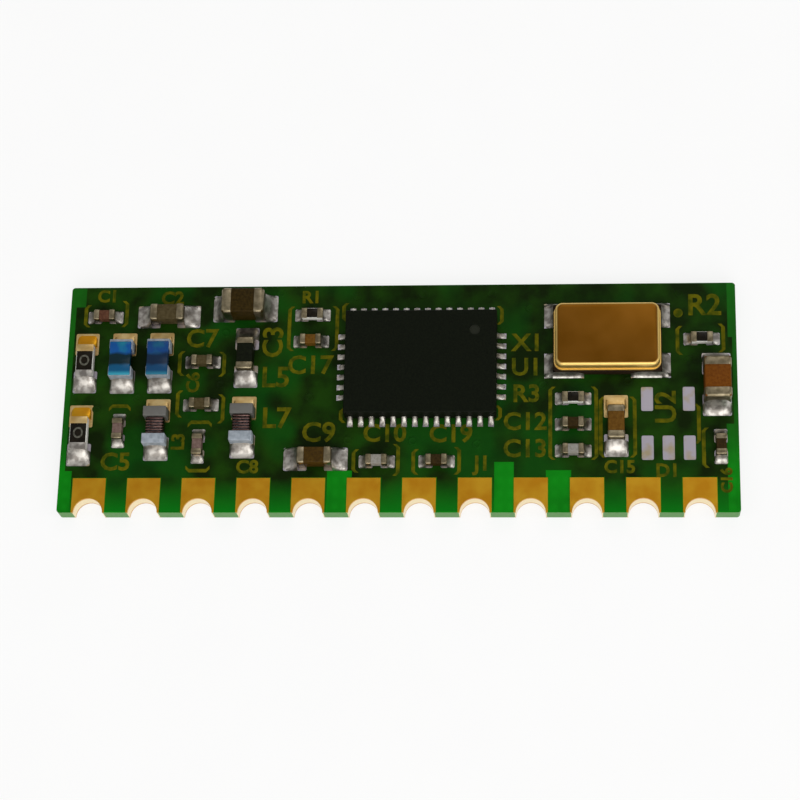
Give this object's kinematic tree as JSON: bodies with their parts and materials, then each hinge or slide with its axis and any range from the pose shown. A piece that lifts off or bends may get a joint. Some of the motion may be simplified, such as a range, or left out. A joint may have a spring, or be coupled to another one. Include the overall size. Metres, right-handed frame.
{
  "type": "radio frequency module",
  "caption": "Thin green circuit board with half-round plated contacts along one edge, a leadless chip, a crystal in a metal can and small block parts; solders flat onto a larger board.",
  "frame": {"origin": "middle of the board's underside", "axes": "+X along the board, the row of edge contacts on the -Y edge, +Z out of the component face"},
  "size_m": [0.0312, 0.011, 0.0021],
  "materials": {
    "solder_mask": "satin",
    "gold_plate": "satin",
    "tinned_land": "satin",
    "solder": "bright",
    "moulding": "matt",
    "lead_frame": "satin",
    "dark_ceramic": "matt",
    "crystal_can": "satin",
    "quartz": "polished",
    "cement": "matt",
    "brown_ceramic": "satin",
    "grey_ceramic": "satin",
    "ferrite": "satin",
    "alumina": "matt",
    "terminal": "satin",
    "glaze": "gloss",
    "core_ceramic": "satin",
    "copper_wire": "satin",
    "blue_resin": "gloss"
  },
  "bodies": {
    "root": {"circuit_board": "solder_mask", "edge_contact_01": "gold_plate", "edge_contact_02": "gold_plate", "edge_contact_03": "gold_plate", "edge_contact_04": "gold_plate", "edge_contact_05": "gold_plate", "edge_contact_06": "gold_plate", "edge_contact_07": "gold_plate", "edge_contact_08": "gold_plate", "edge_contact_09": "gold_plate", "edge_contact_10": "gold_plate", "edge_contact_11": "gold_plate", "edge_contact_12": "gold_plate", "capacitor_01": "brown_ceramic", "capacitor_02": "grey_ceramic", "capacitor_03": "brown_ceramic", "capacitor_04": "brown_ceramic", "capacitor_05": "grey_ceramic", "capacitor_06": "brown_ceramic", "capacitor_07": "brown_ceramic", "capacitor_08": "grey_ceramic", "capacitor_09": "brown_ceramic", "capacitor_10": "grey_ceramic", "capacitor_11": "brown_ceramic", "capacitor_12": "brown_ceramic", "capacitor_13": "grey_ceramic", "capacitor_14": "brown_ceramic", "capacitor_15": "brown_ceramic", "capacitor_16": "brown_ceramic", "bead_01": "ferrite", "resistor_01": "alumina", "resistor_02": "alumina", "resistor_03": "alumina", "jumper_01": "alumina", "jumper_02": "alumina", "inductor_01": "core_ceramic", "inductor_02": "core_ceramic", "inductor_03": "core_ceramic", "inductor_04": "core_ceramic", "component_lands": "tinned_land", "component_solder": "solder", "capacitor_terminals": "terminal", "resistor_terminals": "terminal", "resistor_glaze": "glaze", "inductor_terminals": "terminal", "inductor_coils": "copper_wire", "inductor_coats": "blue_resin", "chip_body": "moulding", "chip_contacts": "lead_frame", "chip_paddle": "lead_frame", "chip_lands": "tinned_land", "chip_solder": "solder", "crystal_base": "dark_ceramic", "crystal_can": "crystal_can", "crystal_supports": "cement", "crystal_plate": "quartz", "crystal_lands": "tinned_land", "crystal_solder": "solder", "spare_lands": "tinned_land"}
  },
  "joints": []
}
